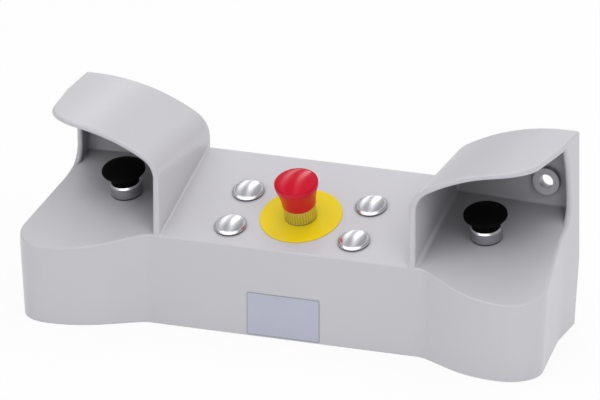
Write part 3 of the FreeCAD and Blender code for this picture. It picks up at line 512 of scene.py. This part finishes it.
# %% Palm buttons
PALM_STEPS = 96
PALM_SECTION = [
    (0, 15.65, 0), (5.05, 15.65, 0), (5.05, 10.3, 0),  # hollow for the stem
    (12.0, 10.3, 0), (12.2, 10.5, 0), (12.2, 18.25, 2.0),  # neck
    (20.0, 23.6, 0.5), (20.0, 25.9, 0.9),  # flare and rim
    (12.5, 28.6, 6.0), (0, 28.6, 0),  # dome
]
for owner in ("palm_left", "palm_right"):
    mesh = turned(PALM_SECTION, PALM_STEPS)
    mesh.transform(axes[owner])
    finished(
        mesh, owner + "_mushroom", owner + "_button", "palm_black", owner + "_cap",
        crisp_angle=35)

# %% [markdown]
# ## Collars
# The chrome collars have fine flutes round them, so that fingers can turn them. The collar is
# spun with three steps for each flute, and every third column of points moves in a little. The
# palm buttons' collars are nearly smooth, and the stop's has deeper flutes. The attribute paints
# shade into the chrome: darkest at the foot, and less dark on the side and in the flutes.

# %% A collar's body
FLUTES = 36
COLLAR_STEPS = 3 * FLUTES
COLLAR_RADIUS = 14.75
MOUTH_RADIUS = 12.55
MOUTH_FLOOR = 2.0
BARREL_RADIUS = 10.95
BARREL_FOOT = -17.0
BORE_RADIUS = 8.0
LIP_RADIUS = 7.0
LIP_TOP = -16.0
PLAIN_RING = 0.5
FLUTE_END = 0.8


def collar_body(base, side_top, top, chamfer):
    """Collar with a plain ring at its foot and top, and a threaded barrel under it."""
    floor = base + MOUTH_FLOOR
    return turned([
        (BARREL_RADIUS, BARREL_FOOT, 0), (BARREL_RADIUS, base, 0), (COLLAR_RADIUS, base, 0),
        (COLLAR_RADIUS, base + PLAIN_RING, 0), (COLLAR_RADIUS, base + FLUTE_END, 0),
        (COLLAR_RADIUS, side_top - FLUTE_END, 0), (COLLAR_RADIUS, side_top - PLAIN_RING, 0),
        (COLLAR_RADIUS, side_top, 0), (COLLAR_RADIUS - chamfer, top, 0), (MOUTH_RADIUS, top, 0),
        (MOUTH_RADIUS, floor, 0), (BORE_RADIUS, floor, 0), (BORE_RADIUS, LIP_TOP, 0),
        (LIP_RADIUS, LIP_TOP, 0), (LIP_RADIUS, BARREL_FOOT, 0), (BARREL_RADIUS, BARREL_FOOT, 0),
    ], COLLAR_STEPS)


# %% Flutes and collars
RING_SPLIT = (PLAIN_RING + FLUTE_END) / 2
SAME_RADIUS = 0.01


def fluted_collar(base, height, chamfer, depth, side_shade, flute_shade):
    """Collar whose every third column of points is moved in, with its painted shade marked."""
    top = base + height
    side_top = top - chamfer
    mesh = collar_body(base, side_top, top, chamfer)
    # Painted shade: full at the foot, and the side and flutes each shaded by their own amount.
    painted_shade = mesh.verts.layers.float.new("painted_shade")
    for point in mesh.verts:
        height_here = point.co.z / MM
        radius = point.co.xy.length / MM
        column = round(atan2(point.co.y, point.co.x) * COLLAR_STEPS / (2 * pi))
        if height_here < base + RING_SPLIT:
            point[painted_shade] = 1.0
        elif height_here < side_top - RING_SPLIT:
            in_flute = abs(radius - COLLAR_RADIUS) < SAME_RADIUS and column % 3 == 0
            point[painted_shade] = flute_shade if in_flute else side_shade
            if in_flute:
                point.co.xy *= 1 - depth / radius
    return mesh


PALM_COLLAR = {
    "base": 0.8, "height": 12.0, "chamfer": 1.4,
    "depth": 0.04, "side_shade": 0.34, "flute_shade": 0.42,
}
STOP_COLLAR = {
    "base": 1.0, "height": 14.0, "chamfer": 0.3,
    "depth": 0.30, "side_shade": 0.05, "flute_shade": 0.45,
}
COLLARS = {"palm_left": PALM_COLLAR, "palm_right": PALM_COLLAR, "stop": STOP_COLLAR}
for owner, sizes in COLLARS.items():
    mesh = fluted_collar(**sizes)
    mesh.transform(axes[owner])
    finished(
        mesh, owner + "_fluted_collar", "root", "chrome_plate", owner + "_collar",
        crisp_angle=20)

# %% [markdown]
# ## Emergency stop
# The red head has a skirt that slides over the collar, a long concave flare and a broad dome with
# a fine groove round it. The flare is a large rounding of one corner of the section. Inside, the
# head's seat stays 0.05 mm off the stem, so that the two don't rub as the head turns. The yellow
# plate under it is a plain ring of sheet.

# %% Emergency stop head and backing plate
HEAD_STEPS = 112
HEAD_SECTION = [
    (0, 24.85, 0), (5.05, 24.85, 0), (5.05, 19.55, 0),  # hollow for the stem
    (12.2, 19.55, 0), (12.2, 19.85, 0),  # seat
    (15.1, 19.85, 0), (15.1, 15.35, 0), (15.3, 15.35, 0), (15.5, 15.6, 0),  # skirt
    (16.5, 26.4, 8.0), (20.0, 35.9, 2.2), (20.0, 40.0, 0.6),  # flare and rim
    (19.4, 40.2, 0.1), (18.9, 39.7, 0.1), (18.5, 40.4, 0.1),  # groove
    (9.0, 43.4, 8.0), (0, 43.4, 0),  # dome
]
mesh = turned(HEAD_SECTION, HEAD_STEPS)
mesh.transform(axes["stop"])
finished(mesh, "stop_mushroom", "stop_knob", "stop_red", "stop_head", crisp_angle=40)

DISK_STEPS = 160
DISK_SECTION = [
    (11.3, 0, 0), (37.3, 0, 0), (37.5, 0.2, 0), (37.5, 0.75, 0),  # underside and edge
    (37.25, 1.0, 0), (11.3, 1.0, 0), (11.3, 0, 0),  # face and bore
]
mesh = turned(DISK_SECTION, DISK_STEPS)
mesh.transform(axes["stop"])
finished(
    mesh, "stop_round_plate", "root", "warning_yellow", "stop_backing_plate", crisp_angle=25)

# %% [markdown]
# ## Return springs
# A coil spring inside each barrel pushes the stem back out. Its round wire is a small circle that
# turns and rises at the same time, which makes a screw. The script works out how far the coil
# would be squashed with the button fully in, and prints it.

# %% Return springs
WIRE_RADIUS = 0.5 * MM
WIRE_SIDES = 10
COIL_TURNS = 4
COIL_STEPS = COIL_TURNS * 32


def coil_spring(coil_radius, low, length):
    """Bmesh of a coil round Z that stands on a height and has closed wire ends."""
    mesh = bmesh.new()
    start = Matrix.Rotation(pi / 2, 4, "X")
    start.translation = (coil_radius, 0, low + WIRE_RADIUS)
    bmesh.ops.create_circle(mesh, radius=WIRE_RADIUS, segments=WIRE_SIDES, matrix=start)
    rise = (length - 2 * WIRE_RADIUS) / COIL_STEPS
    bmesh.ops.spin(
        mesh, geom=mesh.verts[:] + mesh.edges[:], axis=(0, 0, 1), cent=(0, 0, 0),
        dvec=(0, 0, rise), angle=2 * pi * COIL_TURNS, steps=COIL_STEPS)
    bmesh.ops.holes_fill(mesh, edges=mesh.edges)
    bmesh.ops.recalc_face_normals(mesh, faces=mesh.faces)
    return mesh


for owner in ("palm_left", "palm_right", "stop"):
    to_device = axes[owner].inverted()
    points = [to_device @ point for point in points_of(owner + "_spring")]
    low = min(point.z for point in points)
    length = max(point.z for point in points) - low
    mesh = coil_spring(max(point.xy.length for point in points) - WIRE_RADIUS, low, length)
    mesh.transform(axes[owner])
    coil = finished(
        mesh, owner + "_coil", "root", "spring_steel", owner + "_spring", crisp_angle=50)
    press = next(joint for joint in frame["joints"] if joint["name"] == owner + "_press")
    foot = axes[owner] @ Vector((0, 0, low))
    pressed = 1 - press["range_m"][1] / length
    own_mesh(coil)
    print(coil.name, "length", round(length / MM, 2), "mm, pressed to", round(pressed, 3))

# %% [markdown]
# ## Blanking plugs
# Four bright domes close the spare holes. Each has a thin flat rim, a rounded shoulder and a
# low crown, over the dark line of its seal. The attribute paints shade on the rim's lower edge.

# %% Blanking plugs
PLUG_STEPS = 96
PLUG_DARK_BELOW = 1.1
PLUG_SECTION = [
    (0, 2.4, 0), (8, 2.4, 0), (8, -12, 0), (10.95, -12, 0), (10.95, 0.8, 0),  # hollow shank
    (14.5, 0.8, 0), (14.75, 1.05, 0), (14.75, 2.1, 0.3),  # rim
    (12.7, 3.5, 0.2), (12.4, 3.4, 0.1), (12.2, 3.7, 0.1),  # shoulder and fine groove
    (6.2, 5.6, 5.8), (0, 5.6, 0),  # dome
]
for number in range(1, PLUGS + 1):
    mesh = turned(PLUG_SECTION, PLUG_STEPS)
    # Painted shade along the rim's lower edge, where it meets the deck.
    painted_shade = mesh.verts.layers.float.new("painted_shade")
    for point in mesh.verts:
        point[painted_shade] = 1.0 if point.co.z < PLUG_DARK_BELOW * MM else 0.0
    mesh.transform(axes["plug_%d" % number])
    finished(
        mesh, "plug_dome_%d" % number, "root", "chrome_plate", "plug_%d" % number,
        crisp_angle=40)

# %% [markdown]
# ## Rating plate
# The plate is a thin sheet with rounded corners. A cube is scaled to the CAD plate's box, and its
# four corner edges, which run from front to back, are rounded. Its front face is inset twice,
# which gives the painted shadow at the border and a narrow fade to the face.

# %% Rating plate
CORNER_RADIUS = 1.5 * MM
CORNER_STEPS = 6
BORDER_INSETS = [(0.5 * MM, 1.0), (0.25 * MM, 0.0)]

low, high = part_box("rating_plate")
size = high - low
mesh = bmesh.new()
bmesh.ops.create_cube(mesh, size=1.0)
bmesh.ops.scale(mesh, vec=size, verts=mesh.verts)
bmesh.ops.translate(mesh, vec=(low + high) / 2, verts=mesh.verts)
corner_edges = [
    edge for edge in mesh.edges if abs(edge.verts[0].co.y - edge.verts[1].co.y) > size.y / 2]
bmesh.ops.bevel(
    mesh, geom=corner_edges, offset=CORNER_RADIUS, affect="EDGES", segments=CORNER_STEPS,
    profile=0.5, material=-1)
# Painted shadow: the outer points of the plate are marked fully dark, the insets fade it.
border_shadow = mesh.verts.layers.float.new("border_shadow")
for point in mesh.verts:
    point[border_shadow] = 1.0
front = min(mesh.faces, key=lambda face: face.calc_center_median().y)
for width, shade in BORDER_INSETS:
    bmesh.ops.inset_region(mesh, faces=[front], thickness=width)
    for point in front.verts:
        point[border_shadow] = shade
bmesh.ops.recalc_face_normals(mesh, faces=mesh.faces)
finished(mesh, "rating_sheet", "root", "label_grey", "rating_plate", crisp_angle=40)
print("rating plate", [round(value / MM, 1) for value in size], "mm")

# %% [markdown]
# ## Floor
# The floor is a plain white sheet. It lies 0.2 mm below the part, because two faces in the same
# place flicker, and it has an opening just inside the base plate's outline, so that the
# underside can be looked at and gets light. The outline comes from the flat underside of the CAD
# node: its loose triangles are merged in a copy, and the edges between the underside and a side
# wall are followed round, from the point that lies furthest east.

# %% The base plate's outline
TOUCHING = 0.01 * MM


def foot_outline(piece):
    """Outer outline of a piece's flat underside, as points in order."""
    mesh = bmesh.new()
    mesh.from_mesh(piece.data)
    bmesh.ops.remove_doubles(mesh, verts=mesh.verts, dist=TOUCHING)
    edges = [
        edge for edge in mesh.edges
        if max(point.co.z for point in edge.verts) < TOUCHING
        and max(face.normal.z for face in edge.link_faces) > -0.9]
    rim = [point for edge in edges for point in edge.verts]
    walk = [max(rim, key=lambda point: point.co.x)]
    while True:
        ends = [edge.other_vert(walk[-1]) for edge in edges if walk[-1] in edge.verts]
        onward = [point for point in ends if point not in walk]
        if not onward:
            break
        walk.append(onward[0])
    points = [point.co.copy() for point in walk]
    mesh.free()
    return points


outline = foot_outline(nodes["base_plate"])
print("base plate outline:", len(outline), "points")

# %% [markdown]
# The sheet is filled between a large square and the opening. Its front side reflects light and
# takes the object's shadow, and to the eye, to mirrors and through glass it mostly glows white,
# as a studio's backdrop does. Its back side is see-through.

# %% Floor
FLOOR_REACH = 14.0
FLOOR_DROP = 0.2 * MM
OPENING_SHARE = 0.99
FLOOR_WHITENESS = 0.9
WHITE = (1.0, 1.0, 1.0, 1.0)
EYE_RAY, MIRROR_RAY, GLASS_RAY = 0, 3, 6

low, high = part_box("base_plate")
middle = (low + high) / 2
opening = [middle + (point - middle) * OPENING_SHARE for point in outline]
square = [Vector((x, y, 0)) * FLOOR_REACH for x, y in ((-1, -1), (1, -1), (1, 1), (-1, 1))]
sheet = bmesh.new()
for ring in (square, opening):
    corners = [sheet.verts.new((point.x, point.y, -FLOOR_DROP)) for point in ring]
    for first, second in zip(corners, corners[1:] + corners[:1]):
        sheet.edges.new((first, second))
bmesh.ops.triangle_fill(sheet, edges=sheet.edges, use_beauty=True, normal=(0, 0, 1))
sheet.normal_update()
bmesh.ops.reverse_faces(sheet, faces=[face for face in sheet.faces if face.normal.z < 0])
floor_data = bpy.data.meshes.new("floor")
sheet.to_mesh(floor_data)
sheet.free()

floor_finish = Finish("floor", {"Roughness": 0.9, "Base Color": colour(246, 246, 247)})
rays = [floor_finish.node("LightPath", output=ray) for ray in (EYE_RAY, MIRROR_RAY, GLASS_RAY)]
glowing = (rays[0] + rays[1] + rays[2]) * FLOOR_WHITENESS
white = floor_finish.node("Emission", None, {"Color": WHITE, "Strength": 1.0})
matt = Value(floor_finish, floor_finish.shader.outputs[0])
shown = floor_finish.node("MixShader", None, {0: glowing, 1: matt, 2: white})
from_below = floor_finish.node("NewGeometry", output=6)
clear = floor_finish.node("BsdfTransparent")
surface = floor_finish.node("MixShader", None, {0: from_below, 1: shown, 2: clear})
floor_finish.join(floor_finish.tree.nodes["Material Output"].inputs["Surface"], surface)
floor_data.materials.append(floor_finish.material)
floor_object = bpy.data.objects.new("floor", floor_data)
bpy.context.scene.collection.objects.link(floor_object)
print("floor:", len(floor_data.polygons), "faces round the opening")

# %% [markdown]
# ## World
# The world is an even pale light for the object and plain white for the eye. Mirrors see a room
# of its own, because chrome and the glossy red dome only look real with something to show: a
# darker ceiling, two narrow soft boxes overhead that run from front to back, a faint third one
# to the east, and one broad soft box in front. The ceiling boxes are placed by how far east they
# lie for each unit of height, so they run straight. They fade out towards the front, where the
# dome's streaks end, and near the horizon. Below the horizon the room is pale again, for views
# of the underside.

# %% The room that mirrors see
HORIZON_LEVEL = 0.18
CEILING_LEVEL = 0.36
CEILING_FADE = (0.05, 0.40)
UNDER_LEVEL = 0.35
UNDER_FADE = (-0.05, -0.40)
LEAST_HEIGHT = 0.05

world = bpy.data.worlds.new("pale_room")
bpy.context.scene.world = world
world.use_nodes = True
room = Shading(world.node_tree)
direction = room.node("TexCoord", output=0)
east, north, above = [room.node("SeparateXYZ", None, {0: direction}, axis) for axis in range(3)]

mirrored = room.fade(above, *CEILING_FADE, HORIZON_LEVEL, CEILING_LEVEL)
mirrored = mirrored + room.fade(above, *UNDER_FADE, 0.0, UNDER_LEVEL)

# %% The soft boxes that mirrors see
STRIP_SLANT = 0.13
STRIP_FOOT_FADE = (0.22, 0.50)
STRIP_FRONT_FADE = (0.05, 0.70)
STRIP_FRONT_SHARE = 0.20
STRIPS = [  # middle, half width of the core, half width with the soft edge, brightness
    (-0.62, 0.0, 0.16, 2.3),
    (-0.19, 0.0, 0.125, 3.9),
    (0.45, 0.10, 0.32, 0.32),
]
FRONT_BOX_GLOW = 2.6
FRONT_BOX_HEIGHT = 0.74
FRONT_BOX_HEIGHT_FADE = (0.10, 0.20)
FRONT_BOX_EAST = -0.15
FRONT_BOX_EAST_FADE = (0.40, 0.70)
FRONT_BOX_NORTH_FADE = (-0.35, -0.20)

height = room.node("Math", {"operation": "MAXIMUM"}, {0: above, 1: LEAST_HEIGHT})
across_strips = (east + north * STRIP_SLANT) / height
strip_reach = room.fade(above, *STRIP_FOOT_FADE)
strip_reach = strip_reach * room.fade(north, *STRIP_FRONT_FADE, STRIP_FRONT_SHARE, 1.0)
for middle, core, edge, glow in STRIPS:
    strip = room.fade(abs(across_strips - middle), core, edge, glow, 0.0)
    mirrored = mirrored + strip * strip_reach

front_box = room.fade(abs(above - FRONT_BOX_HEIGHT), *FRONT_BOX_HEIGHT_FADE, FRONT_BOX_GLOW, 0.0)
front_box = front_box * room.fade(abs(east - FRONT_BOX_EAST), *FRONT_BOX_EAST_FADE, 1.0, 0.0)
front_box = front_box * room.fade(north, *FRONT_BOX_NORTH_FADE, 1.0, 0.0)
mirrored = mirrored + front_box
print("soft boxes in mirrors:", len(STRIPS) + 1)

# %% [markdown]
# Light Path tells what kind of ray is looking. The eye and glass get plain white, a mirror gets
# the room with its soft boxes, and everything else gets the even light.

# %% World
WORLD_LEVEL = 0.72

eye, mirror, glass = [
    room.node("LightPath", output=ray) for ray in (EYE_RAY, MIRROR_RAY, GLASS_RAY)]
level = mirror * (mirrored - WORLD_LEVEL) + WORLD_LEVEL
level = (eye + glass) * (1.0 - level) + level
background = room.tree.nodes["Background"]
background.inputs["Color"].default_value = WHITE
room.join(background.inputs["Strength"], level)
print("world nodes:", len(room.tree.nodes))

# %% [markdown]
# ## Lamps
# Three large lamps give the soft shadows of a studio: two long ones overhead, and one in front on
# the right, which lights the hoods' insides. They are hidden from mirrors, because the world
# already shows soft boxes there.

# %% Lamps
LAMPS = {
    "strip_left": {
        "place": (-1.5, 0.2, 1.7), "aim_at": (0, 0.2, 0.1), "width": 0.4, "length": 3.0,
        "watts": 2.8},
    "strip_middle": {
        "place": (0.15, 0.3, 1.9), "aim_at": (0.15, 0.3, 0.1), "width": 0.35, "length": 3.0,
        "watts": 8.9},
    "right_front": {
        "place": (1.5, -1.4, 1.7), "aim_at": (0, 0, 0.1), "width": 1.0, "length": 1.0,
        "watts": 7.9},
}


def soft_box(name, place, aim_at, width, length, watts):
    """Rectangular lamp that faces a point."""
    lamp = bpy.data.lights.new(name, "AREA")
    lamp.shape = "RECTANGLE"
    lamp.size = width
    lamp.size_y = length
    lamp.energy = watts
    backwards = (Vector(place) - Vector(aim_at)).normalized()
    sideways = Vector((0, 1, 0)).cross(backwards).normalized()
    turned_to = Matrix((sideways, backwards.cross(sideways), backwards)).transposed()
    holder = bpy.data.objects.new(name, lamp)
    bpy.context.scene.collection.objects.link(holder)
    holder.location = place
    holder.rotation_mode = "QUATERNION"
    holder.rotation_quaternion = turned_to.to_quaternion()
    holder.visible_glossy = False


for name, sizes in LAMPS.items():
    soft_box(name, **sizes)
    print(name, sizes["watts"], "W")
